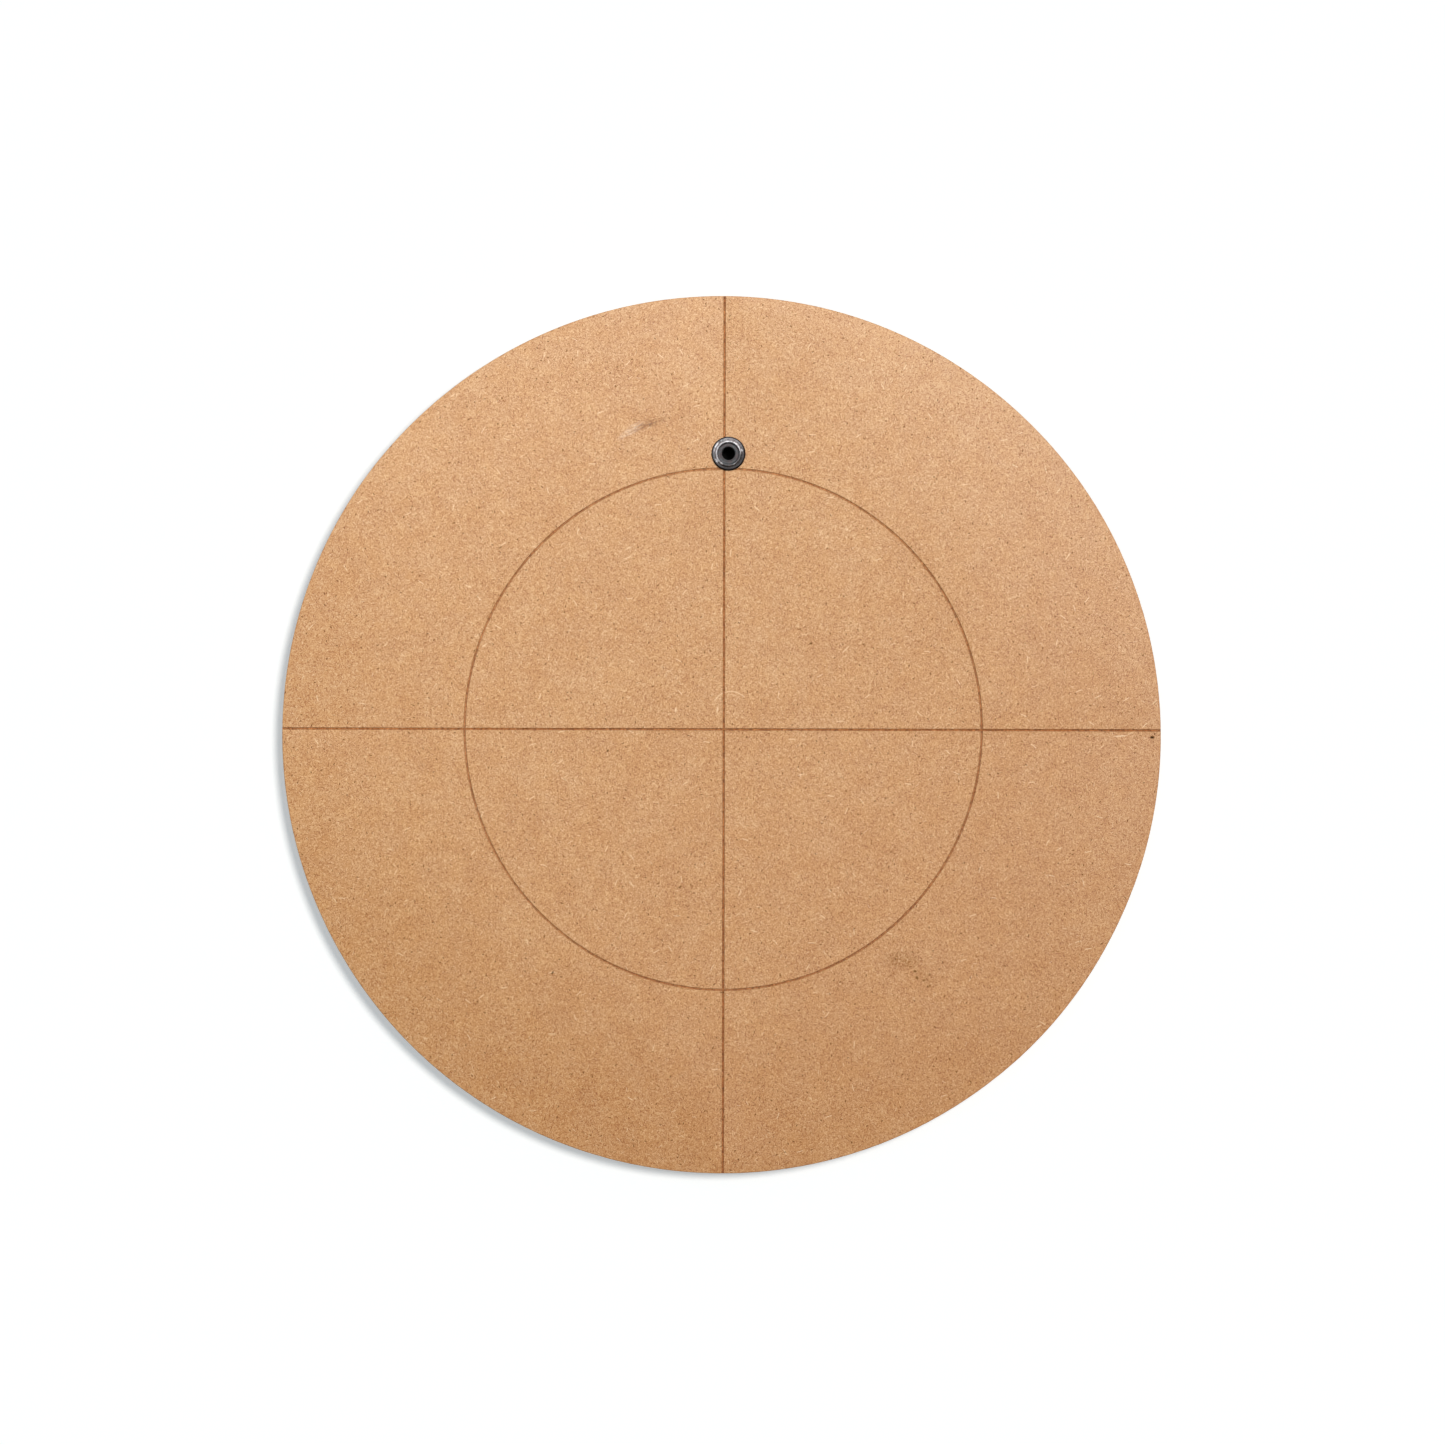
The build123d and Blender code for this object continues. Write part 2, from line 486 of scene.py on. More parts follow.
def build_nut():
    """A hexagon nut: each row follows the hexagon until the turned corner cuts it off."""
    low, high = nut_low.z, nut_high.z
    flat_radius = (nut_high.y - nut_low.y) / 2
    corner_radius = (nut_high.x - nut_low.x) / 2
    chamfer = 0.45

    def hexagon(angle, limit, z):
        if limit < flat_radius - 0.6:
            return limit, z
        side = (angle % (math.pi / 3)) - math.pi / 6
        return min(flat_radius / math.cos(side), limit), z

    profile = [
        (BARREL_RADIUS + 0.02, low + 0.25),
        (BARREL_RADIUS + 0.28, low),
        (4.6, low),
        (flat_radius - 0.2, low),
        (flat_radius + 0.1, low + 0.1),
        (corner_radius - 0.45, low + 0.24),
        (corner_radius, low + chamfer),
        (corner_radius, (low + high) / 2),
        (corner_radius, high - 0.12),
        (corner_radius - 0.1, high),
        (BARREL_RADIUS + 0.28, high),
        (BARREL_RADIUS + 0.02, high - 0.25),
    ]
    return lathe("hex_lock_nut", profile, SOCKET, NUT_SEGMENTS, hexagon)


def build_foot(number):
    """A moulded foot: tapered side, rounded tread and a dished middle with a gate mark."""
    low, high = node_box_mm(f"rubber_foot_{number}")
    middle = (low + high) / 2
    top = (high.x - low.x) / 2
    tread = 7.5
    profile = (
        [(0.12, 0.5), (0.55, 0.48), (0.7, 0.36), (0.8, 0.3), (3.6, 0.3)]
        + [(4.6, 0.24), (5.0, 0.06), (5.2, 0.0), (6.3, 0.0)]
        + arc(tread - 0.9, 0.95, 0.95, 0.95, -80, -8, 7)
        + [(tread + 0.35, 1.5), (tread + 0.75, 2.3), (top - 0.42, 3.0)]
        + [(top - 0.16, 3.35), (top - 0.05, 3.5), (top, 3.62), (top, 3.9), (top - 0.08, high.z)]
        + [(0.12, high.z)]
    )
    return lathe(f"moulded_foot_{number}", profile, middle, FOOT_SEGMENTS, caps=True)


# ---- Material helpers ----------------------------------------------------------------------


class Graph:
    """Short calls for building a node tree. A value is a socket, a number or a tuple."""

    def __init__(self, tree):
        self.tree = tree

    def put(self, target, value):
        if isinstance(value, bpy.types.NodeSocket):
            self.tree.links.new(value, target)
        elif value is not None:
            target.default_value = value

    def add(self, kind, values=(), **settings):
        node = self.tree.nodes.new(kind)
        for key, value in settings.items():
            setattr(node, key, value)
        for key, value in dict(values).items():
            self.put(node.inputs[key], value)
        return node

    def math(self, operation, *values):
        return self.add("ShaderNodeMath", enumerate(values), operation=operation).outputs[0]

    def vector(self, operation, *values, **named):
        node = self.add("ShaderNodeVectorMath", enumerate(values), operation=operation)
        for key, value in named.items():
            self.put(node.inputs[key], value)
        return node.outputs["Value" if operation in ("LENGTH", "DOT_PRODUCT") else "Vector"]

    def smooth(self, value, low, high, to_low=0.0, to_high=1.0):
        """Rises smoothly from to_low at low to to_high at high."""
        node = self.add(
            "ShaderNodeMapRange",
            enumerate((value, low, high, to_low, to_high)),
            interpolation_type="SMOOTHSTEP",
        )
        return node.outputs[0]

    def mix(self, factor, a, b):
        node = self.add("ShaderNodeMix", data_type="RGBA")
        for index, value in ((0, factor), (6, a), (7, b)):
            self.put(node.inputs[index], rgba(value))
        return node.outputs[2]

    def blend(self, factor, a, b):
        """mix() for numbers."""
        node = self.add("ShaderNodeMix", data_type="FLOAT")
        for index, value in ((0, factor), (2, a), (3, b)):
            self.put(node.inputs[index], value)
        return node.outputs[0]

    def blend_vectors(self, factor, a, b):
        """mix() for vectors."""
        node = self.add("ShaderNodeMix", data_type="VECTOR")
        for index, value in ((0, factor), (4, a), (5, b)):
            self.put(node.inputs[index], value)
        return node.outputs[1]

    def noise(self, vector, per_mm, detail=2.0, roughness=0.5, distortion=0.0):
        names = ("Vector", "Scale", "Detail", "Roughness", "Distortion")
        values = zip(names, (vector, per_mm, detail, roughness, distortion))
        return self.add("ShaderNodeTexNoise", values).outputs["Fac"]

    def split(self, vector):
        return self.add("ShaderNodeSeparateXYZ", {0: vector}).outputs

    def join(self, x, y, z):
        return self.add("ShaderNodeCombineXYZ", {0: x, 1: y, 2: z}).outputs[0]

    def scaled(self, vector, amount):
        """A vector or colour times a number."""
        return self.vector("SCALE", vector, Scale=amount)

    def turned(self, vector, angle):
        """A vector turned about the upright axis by an angle in radians."""
        values = {"Vector": vector, "Angle": angle}
        return self.add("ShaderNodeVectorRotate", values, rotation_type="Z_AXIS").outputs[0]

    def about(self, value, middle, gain, base):
        """base plus gain times how far the value is from its middle."""
        return self.math("MULTIPLY_ADD", self.math("SUBTRACT", value, middle), gain, base)

    def gap(self, value, middle):
        """How far a value is from its middle, on either side."""
        return self.math("ABSOLUTE", self.math("SUBTRACT", value, middle))

    def most(self, *values):
        """The largest of several values."""
        largest = values[0]
        for value in values[1:]:
            largest = self.math("MAXIMUM", largest, value)
        return largest

    def product(self, *values):
        """Several numbers multiplied together."""
        result = values[0]
        for value in values[1:]:
            result = self.math("MULTIPLY", result, value)
        return result


def rgba(value):
    """A colour of three numbers gets its fourth; anything else is left as it is."""
    return (*value, 1.0) if isinstance(value, tuple) and len(value) == 3 else value


def new_material(name):
    """A node material; returns it, its graph and its Principled shader."""
    material = bpy.data.materials.new(name)
    material.use_nodes = True
    tree = material.node_tree
    return material, Graph(tree), tree.nodes["Principled BSDF"]


def add_bump(g, shader, height, strength, depth_mm):
    """Relief on a shader from a height map."""
    values = {"Strength": strength, "Distance": depth_mm * MM, "Height": height}
    g.put(shader.inputs["Normal"], g.add("ShaderNodeBump", values).outputs[0])


def object_mm(g):
    """The place on the object in millimetres, and the surface's normal."""
    coords = g.add("ShaderNodeTexCoord")
    return g.scaled(coords.outputs["Object"], 1 / MM), coords.outputs["Normal"]


def fibre_group():
    """Node group: short bent fibres, one in each cell, at random places and angles.

    Place is in cells. Fibre is 1 on a fibre and 0 off it; Chance is how often a cell has one.
    """
    group = bpy.data.node_groups.new("fibres", "ShaderNodeTree")
    face = group.interface
    face.new_socket("Place", in_out="INPUT", socket_type="NodeSocketVector")
    for name in ("Half length", "Half width", "Chance"):
        face.new_socket(name, in_out="INPUT", socket_type="NodeSocketFloat")
    face.new_socket("Fibre", in_out="OUTPUT", socket_type="NodeSocketFloat")
    g = Graph(group)
    entry = g.add("NodeGroupInput").outputs
    cells = g.add(
        "ShaderNodeTexVoronoi", {"Vector": entry["Place"], "Scale": 1.0}, voronoi_dimensions="2D"
    )
    draw = g.add("ShaderNodeSeparateColor", {0: cells.outputs["Color"]}).outputs
    away = g.vector("SUBTRACT", entry["Place"], cells.outputs["Position"])
    along, across, _ = g.split(g.turned(away, g.math("MULTIPLY", draw[0], 2 * math.pi)))
    bend = g.math("MULTIPLY", g.math("SUBTRACT", draw[1], 0.5), 1.6)
    across = g.math("MULTIPLY_ADD", g.math("MULTIPLY", along, along), bend, across)
    long_part = g.math("DIVIDE", g.math("ABSOLUTE", along), entry["Half length"])
    wide_part = g.math("DIVIDE", g.math("ABSOLUTE", across), entry["Half width"])
    mask = g.math("MULTIPLY", g.smooth(long_part, 1.0, 0.55), g.smooth(wide_part, 1.0, 0.35))
    present = g.math("LESS_THAN", draw[2], entry["Chance"])
    g.add("NodeGroupOutput", {"Fibre": g.math("MULTIPLY", mask, present)})
    return group


def fibres(g, group, place, cell_mm, length, width, chance, shift):
    """A layer of fibres; length and width are whole sizes in millimetres."""
    moved = g.vector("ADD", g.scaled(place, 1 / cell_mm), (shift, 1.7 * shift, 0.0))
    values = {
        "Place": moved,
        "Half length": length / 2 / cell_mm,
        "Half width": width / 2 / cell_mm,
        "Chance": chance,
    }
    return g.add("ShaderNodeGroup", values, node_tree=group).outputs["Fibre"]


# ---- Fibreboard material -------------------------------------------------------------------

FIBREBOARD = (0.541, 0.280, 0.1095)
# Powers of brightness for red, green and blue: pale fibres are less brown as well as lighter.
GRAIN_SPREAD = (1.1, 1.98, 3.25)
PATCH_TINTS = ((1.0, 0.983, 0.935), (1.0, 1.014, 1.06))  # warmer and cooler patches
# Painted shade for the lower right of the playing face.
LOWER_RIGHT_SHADE = (0.97, 0.92, 0.87)
PALE_FIBRE = (0.86, 0.62, 0.38)
DARK_SPECK = (0.11, 0.048, 0.018)
# Each kind of mark's colour, and the strokes it is made of, if any.
MARK_KINDS = {
    "smudge": ((0.25, 0.150, 0.115), (0.22, 1.5)),
    "rub": ((0.74, 0.58, 0.46), (0.20, 1.7)),
    "mottle": ((0.20, 0.095, 0.045), (1.1, 1.3)),
    "shive": (PALE_FIBRE, None),
    "speck": ((0.055, 0.027, 0.013), None),
}
DULL_KINDS = ("speck", "smudge", "mottle")
SCORED = (0.64, 0.45, 0.30)  # the scored line's colour over the board's
# From cloudy mottling to grain: noise per millimetre, detail, roughness, distortion and gain.
MOTTLING = (
    (0.035, 3, 0.55, 0.4, 0.11),
    (0.16, 3, 0.6, 0.3, 0.22),
    (1.1, 3, 0.65, 1.2, 0.55),
)
# Layers of fine fibres: cell, length and width in mm, chance, and how much each lightens.
FINE_FIBRES = (
    (1.5, 1.5, 0.30, 0.85, 0.175),
    (1.2, 1.1, 0.28, 0.85, -0.27),
    (2.1, 2.2, 0.34, 0.6, 0.16),
    (1.7, 1.8, 0.30, 0.6, -0.28),
    (0.8, 0.8, 0.24, 0.8, -0.25),
    (0.9, 0.8, 0.24, 0.8, 0.175),
)
# Single pale slivers and dark specks: cell, length and width in mm, chance, shift of the
# pattern, strength, and whether it is a pale one.
SINGLE_FIBRES = (
    (7.5, 3.2, 0.40, 0.10, 3.3, 0.74, True),
    (5.0, 2.0, 0.32, 0.12, 47.1, 0.60, True),
    (5.5, 1.0, 0.48, 0.30, 21.9, 0.92, False),
    (3.2, 1.3, 0.30, 0.36, 78.3, 0.60, False),
)
# Marks on the face: centre x and y, angle in degrees, half length and half width (mm), kind
# and strength.
MARKS = (
    (-28.8, 121.8, 19, 8.4, 2.4, "smudge", 0.64),
    (-31.6, 120.2, 26, 6.2, 1.5, "smudge", 0.50),
    (-34.8, 120.2, 32, 5.4, 1.7, "rub", 0.40),
    (-36.8, 117.7, 27, 5.4, 1.3, "rub", 0.40),
    (-26.0, 121.7, 10, 0.75, 0.5, "speck", 0.25),
    (-27.6, 121.4, 20, 0.7, 0.45, "speck", 0.25),
    (-34.6, 123.4, 60, 0.7, 0.5, "speck", 0.3),
    (71.0, -88.0, -5, 8.5, 4.0, "mottle", 0.50),
    (80.0, -94.5, -35, 7.0, 3.0, "mottle", 0.26),
    (76.0, -92.3, 0, 0.8, 0.55, "speck", 0.7),
    (76.8, -94.9, -60, 1.0, 0.6, "speck", 0.6),
    (79.4, -95.8, 10, 0.9, 0.5, "speck", 0.5),
    (81.6, -93.6, 45, 0.7, 0.5, "speck", 0.4),
    (81.7, -98.0, 30, 0.7, 0.5, "speck", 0.4),
    (155.9, -0.1, 5, 3.3, 0.42, "shive", 0.65),
    (160.2, 1.0, 25, 1.6, 0.30, "shive", 0.40),
    (168.6, -0.6, 10, 0.95, 0.68, "speck", 1.0),
    (-65.9, -93.2, 60, 0.9, 0.45, "speck", 0.9),
    (-16.0, -59.5, 30, 0.9, 0.4, "speck", 0.6),
    (-86.7, 73.1, 40, 1.1, 0.4, "speck", 0.6),
    (-105.5, 132.6, 35, 1.4, 0.32, "shive", 0.6),
    (-85.9, 87.2, -45, 1.5, 0.30, "shive", 0.6),
    (-92.9, 34.8, 35, 1.6, 0.34, "shive", 0.6),
    (-112.1, 19.1, 50, 1.4, 0.28, "shive", 0.5),
    (-93.7, -102.6, 40, 1.5, 0.30, "shive", 0.7),
    (52.2, -54.8, -50, 1.4, 0.28, "shive", 0.5),
    (-17.9, 9.7, 85, 1.3, 0.36, "shive", 0.75),
    (-1.6, 9.9, 82, 1.9, 0.34, "shive", 0.7),
    (48.6, 33.6, 45, 2.0, 0.34, "shive", 0.6),
    (34.9, 35.9, 20, 0.7, 0.45, "speck", 0.8),
    (-44.5, -6.3, 60, 0.7, 0.45, "speck", 0.8),
)
# Long bent fibres: centre x and y, radius, first and last heading in degrees, half width (mm)
# and strength.
BENT_FIBRES = (
    (3.6, 9.75, 7.26, 40, 156, 0.27, 0.58),
    (3.3, 9.40, 6.40, 56, 106, 0.24, 0.50),
)


def mark_mask(g, x, y, centre_x, centre_y, degrees, half_length, half_width, ragged, streaks=None):
    """An ellipse-shaped mask at a place on the face, with ragged edges.

    streaks, (along, across) per millimetre, breaks it up into strokes along its length.
    """
    away = g.join(g.math("SUBTRACT", x, centre_x), g.math("SUBTRACT", y, centre_y), 0.0)
    turned = g.turned(away, -math.radians(degrees))
    unit = g.vector("DIVIDE", turned, (half_length, half_width, 1.0))
    mask = g.smooth(g.math("ADD", g.vector("LENGTH", unit), ragged), 1.15, 0.35)
    if streaks:
        strokes = g.noise(g.vector("MULTIPLY", turned, (*streaks, 0.0)), 1.0, 2, 0.6)
        mask = g.math("MULTIPLY", mask, g.smooth(strokes, 0.38, 0.64))
    return mask


def bent_fibre_mask(g, x, y, centre_x, centre_y, radius, first, last, half_width):
    """A thin arc between two headings in degrees, fading at both ends."""
    away = g.join(g.math("SUBTRACT", x, centre_x), g.math("SUBTRACT", y, centre_y), 0.0)
    off = g.gap(g.vector("LENGTH", away), radius)
    middle = math.radians((first + last) / 2)
    ahead = (math.cos(middle), math.sin(middle), 0.0)
    facing = g.vector("DOT_PRODUCT", g.vector("NORMALIZE", away), ahead)
    end = math.cos(math.radians((last - first) / 2))
    faded = g.smooth(facing, end, end + 0.15)
    return g.math("MULTIPLY", g.smooth(off, half_width, half_width * 0.3), faded)


def board_spot(g):
    """Where a point of the board is; edge is 1 on upright faces, top is 1 near the playing face.

    flat is the place that the fibres are laid out by: the face as it is, the rim unrolled.
    """
    place, normal = object_mm(g)
    x, y, z = g.split(place)
    edge = g.smooth(g.math("ABSOLUTE", g.split(normal)[2]), 0.75, 0.35)
    top = g.smooth(z, BOARD_TOP - 0.75, BOARD_TOP - 0.65)
    # The rim is mapped round its own length, so its fibres don't smear.
    around = g.math("MULTIPLY", g.math("ARCTAN2", y, x), BOARD_RADIUS)
    on_rim = g.join(around, g.math("MULTIPLY", z, 2.2), 0.0)
    flat = g.blend_vectors(edge, g.join(x, y, 0.0), on_rim)
    return SimpleNamespace(place=place, x=x, y=y, z=z, edge=edge, top=top, around=around, flat=flat)


def board_grain(g, group, spot):
    """Brightness from cloudy mottling down to fine fibres, the relief, and the grain alone."""
    light = 1.0
    for *shape, gain in MOTTLING:
        grain = g.noise(spot.place, *shape)
        light = g.about(grain, 0.5, gain, light)
    relief = grain
    for number, (*shape, lift) in enumerate(FINE_FIBRES):
        layer = fibres(g, group, spot.flat, *shape, 13.7 * number + 5.1)
        light = g.math("MULTIPLY_ADD", layer, lift, light)
        relief = g.math("MULTIPLY_ADD", layer, lift * 1.5, relief)
    return light, relief, grain


def board_colour(g, spot, light):
    """The board's colour under its single fibres and marks, with painted shade towards the lower right.
    """
    warm = g.noise(spot.place, 0.11, 2, 0.5, 0.5)
    tint = g.mix(g.smooth(warm, 0.3, 0.7), *PATCH_TINTS)
    colour = g.vector("MULTIPLY", tint, FIBREBOARD)
    # Painted shade: the colour is a little darker and browner towards the lower right, where the
    # light's sheen is weaker.
    lower_right_shade_mask = g.smooth(g.math("SUBTRACT", spot.x, spot.y), -60.0, 210.0)
    colour = g.mix(lower_right_shade_mask, colour, g.vector("MULTIPLY", colour, LOWER_RIGHT_SHADE))
    spread = g.join(*(g.math("POWER", light, power) for power in GRAIN_SPREAD))
    return g.vector("MULTIPLY", colour, spread)


def rim_light(g, spot, felt):
    """The cut rim's brightness: darker dense skins and a paler felted core."""
    depth = g.gap(spot.z, (BOARD_TOP + BOARD_BOTTOM) / 2)
    skin = g.smooth(depth, 1.4, 2.9)
    cut = g.math("MULTIPLY", g.blend(skin, 0.86, 0.70), g.blend(felt, 0.72, 1.28))
    return g.blend(spot.edge, 1.0, cut)


def add_single_fibres(g, group, spot, colour, relief):
    """Lays the slivers and specks over the colour and relief; dull is 1 on the dark ones."""
    dull = 0.0
    for *shape, strength, pale in SINGLE_FIBRES:
        layer = fibres(g, group, spot.flat, *shape)
        target = PALE_FIBRE if pale else DARK_SPECK
        colour = g.mix(g.math("MULTIPLY", layer, strength), colour, target)
        if not pale:
            dull = g.math("MAXIMUM", dull, layer)
        relief = g.math("MULTIPLY_ADD", layer, 0.5 if pale else -0.4, relief)
    return colour, relief, dull


def add_marks(g, spot, colour, dull):
    """Lays the marks and bent fibres of the playing face over the colour."""
    ragged = g.math("MULTIPLY", g.math("SUBTRACT", g.noise(spot.place, 0.9, 3, 0.7), 0.5), 1.3)
    for *shape, kind, strength in MARKS:
        target, streaks = MARK_KINDS[kind]
        mask = mark_mask(g, spot.x, spot.y, *shape, ragged, streaks)
        mask = g.product(mask, spot.top, strength)
        colour = g.mix(mask, colour, target)
        if kind in DULL_KINDS:
            dull = g.math("MAXIMUM", dull, mask)
    for *shape, strength in BENT_FIBRES:
        mask = g.product(bent_fibre_mask(g, spot.x, spot.y, *shape), spot.top, strength)
        colour = g.mix(mask, colour, PALE_FIBRE)
    return colour, dull


def scored_mask(g, spot, beads):
    """1 in the scored lines and a little less in the ring; beads makes their edges uneven."""
    from_ring = g.vector("SUBTRACT", g.join(spot.x, spot.y, 0.0), (*RING_CENTRE, 0.0))
    round_ring = g.vector("LENGTH", g.vector("DIVIDE", from_ring, (*RING_RADII, 1.0)))
    off_ring = g.math("ABSOLUTE", g.math("MULTIPLY_ADD", round_ring, RING_RADIUS, -RING_RADIUS))
    off_line = g.math("MINIMUM", g.gap(spot.x, CROSS.x), g.gap(spot.y, CROSS.y))
    ragged = g.math("MULTIPLY", g.math("SUBTRACT", beads, 0.5), 0.5)
    ring, cross = (
        g.smooth(g.math("ADD", off, ragged), reach, reach - 0.3, 0.0, strength)
        for off, reach, strength in (
            (off_ring, LINE_HALF_WIDTH - 0.05, 0.88),
            (off_line, LINE_HALF_WIDTH, 1.0),
        )
    )
    return g.math("MULTIPLY", g.math("MAXIMUM", ring, cross), spot.top)


def fibreboard_material():
    """Raw fibreboard: felted fibres, single slivers and specks, marks and scorched lines."""
    material, g, shader = new_material("raw_fibreboard")
    group = fibre_group()
    spot = board_spot(g)
    light, relief, grain = board_grain(g, group, spot)
    felt_place = g.join(spot.around, g.math("MULTIPLY", spot.z, 3.0), 0.0)
    felt = g.noise(felt_place, 0.9, 4, 0.7, 0.6)
    colour = g.scaled(board_colour(g, spot, light), rim_light(g, spot, felt))
    colour, relief, dull = add_single_fibres(g, group, spot, colour, relief)
    colour, dull = add_marks(g, spot, colour, dull)

    # The scored lines are scorched unevenly along their length.
    beads = g.noise(spot.place, 0.9, 3, 0.7)
    scored = scored_mask(g, spot, beads)
    burnt = g.scaled(g.vector("MULTIPLY", colour, SCORED), g.blend(beads, -0.35, 2.35))
    g.put(shader.inputs["Base Color"], g.mix(scored, colour, burnt))

    sheen = g.about(grain, 0.5, 0.25, 0.47)
    rim_rough = g.math("MULTIPLY", spot.edge, 0.85)
    g.put(shader.inputs["Roughness"], g.most(sheen, rim_rough, g.math("MULTIPLY", scored, 0.8)))
    # Dark specks and smudges don't shine, so they stay brown.
    g.put(shader.inputs["Specular IOR Level"], g.smooth(dull, 0.0, 0.5, 0.6, 0.0))
    height = g.math("ADD", relief, g.product(felt, spot.edge, 3.0))
    add_bump(g, shader, height, 0.5, 0.06)
    return material


# ---- Metal and rubber materials ------------------------------------------------------------

STEEL_GREY = (0.066, 0.070, 0.074)
STEEL_BROWN = (0.072, 0.060, 0.062)
# Near black for the painted shade and painted shadow on the flange.
PAINTED_SHADE_BLACK = (0.014, 0.012, 0.012)
# Colour of the rubbed steel and of the painted highlights.
STEEL_BRIGHT = (0.66, 0.64, 0.67)
BORE_BLACK = (0.003, 0.003, 0.003)
PLATE_GREY = (0.42, 0.42, 0.40)
PLATE_BRIGHT = (0.72, 0.71, 0.68)
PLATE_GRIME = (0.05, 0.035, 0.028)
PLATE_WORN_RADIUS = 6.2
PLATE_WORN_HALF_WIDTH = 0.5


def socket_spot(g):
    """Where a point is round the socket's axis."""
    place, _ = object_mm(g)
    x, y, z = g.split(place)
    x, y = g.math("SUBTRACT", x, SOCKET.x), g.math("SUBTRACT", y, SOCKET.y)
    away = g.join(x, y, 0.0)
    return SimpleNamespace(place=place, x=x, y=y, z=z, away=away, radius=g.vector("LENGTH", away))


def plated_steel_material():
    """Dull plated steel, patchy with grime and rubbed bright in a ring round the socket."""
    material, g, shader = new_material("dull_plated_steel")
    spot = socket_spot(g)
    lathe_lines = g.join(g.math("MULTIPLY", spot.radius, 9.0), spot.z, 0.0)
    turned = g.noise(lathe_lines, 1.0, 3, 0.7)
    patches = g.noise(spot.place, 0.55, 4, 0.65, 0.4)
    fine = g.noise(spot.place, 3.2, 4, 0.7)
    # Rubbed more towards the upper left.
    side = g.math("DIVIDE", g.math("SUBTRACT", spot.y, spot.x), 9.0)
    off = g.gap(spot.radius, PLATE_WORN_RADIUS)
    off = g.about(fine, 0.5, PLATE_WORN_HALF_WIDTH * 1.6, off)
    band = g.smooth(off, PLATE_WORN_HALF_WIDTH, PLATE_WORN_HALF_WIDTH * 0.3)
    patchy = g.smooth(g.math("MULTIPLY_ADD", side, 0.32, patches), 0.36, 0.66)
    scuff = g.smooth(g.math("MULTIPLY_ADD", side, 0.08, fine), 0.66, 0.74, 0.0, 0.45)
    wear = g.math("MAXIMUM", g.product(band, 0.5, patchy), scuff)
    tone = g.math("MULTIPLY", g.blend(turned, 0.8, 1.2), g.blend(patches, 0.7, 1.3))
    colour = g.mix(wear, g.scaled(PLATE_GREY, tone), PLATE_BRIGHT)
    dirt = g.math("MULTIPLY", g.smooth(patches, 0.62, 0.45), 0.35)
    g.put(shader.inputs["Base Color"], g.mix(dirt, colour, PLATE_GRIME))
    g.put(shader.inputs["Metallic"], g.blend(dirt, 1.0, 0.0))
    g.put(shader.inputs["Roughness"], g.blend(wear, g.about(fine, 0.5, 0.3, 0.42), 0.34))
    height = g.math("ADD", g.math("MULTIPLY", turned, 0.6), g.math("MULTIPLY", fine, 0.7))
    add_bump(g, shader, height, 0.5, 0.03)
    return material


# Scuffs and painted highlights on the fitting: heading in degrees, radius, half length, half width
# (mm), strength.
SCUFFS_AND_HIGHLIGHTS = (
    (146, 5.72, 1.35, 0.36, 1.00),
    (166, 5.75, 0.80, 0.24, 0.60),
    (118, 5.80, 0.60, 0.16, 0.40),
    (96, 4.80, 1.50, 0.36, 1.00),
    (128, 4.88, 1.10, 0.32, 0.90),
    (52, 4.95, 1.30, 0.36, 0.85),
    (172, 4.90, 1.10, 0.36, 0.85),
    (211, 5.15, 1.05, 0.62, 1.00),
    (233, 4.80, 0.95, 0.42, 0.75),
    (14, 5.25, 0.65, 0.55, 0.65),
    (300, 4.70, 0.80, 0.26, 0.40),
)


def steel_colour(g, spot, outside, north_west, turned, nicks):
    """The dark steel's colour where it isn't rubbed, darker towards the hole and at the outer edge,
    with painted shade and a painted shadow on the flange away from the upper left.
    """
    patches = g.noise(spot.place, 0.75, 3, 0.6, 0.3)
    colour = g.mix(g.smooth(patches, 0.40, 0.60), STEEL_BROWN, STEEL_GREY)
    round_hole = g.smooth(spot.radius, BORE_RADIUS + 0.3, BORE_RADIUS + 1.0, 0.85, 1.0)
    outer_edge = g.smooth(spot.radius, 6.15, 6.4, 1.0, 0.6)
    tone = g.product(g.blend(turned, 0.75, 1.25), g.blend(nicks, 0.5, 1.5), round_hole, outer_edge)
    # Painted shade: the flange's side away from the upper left goes near black.
    foot = g.product(g.smooth(north_west, 0.0, -0.8), outside, 0.65)
    colour = g.mix(foot, g.scaled(colour, tone), PAINTED_SHADE_BLACK)
    # Painted shadow: a dark rim along the flange's outer edge, away from the upper left.
    brink_shadow = g.smooth(g.about(nicks, 0.5, 0.8, spot.radius), 5.95, 6.2)
    brink_shadow = g.math("MULTIPLY", brink_shadow, g.smooth(north_west, 0.35, -0.15))
    return g.mix(brink_shadow, colour, PAINTED_SHADE_BLACK)


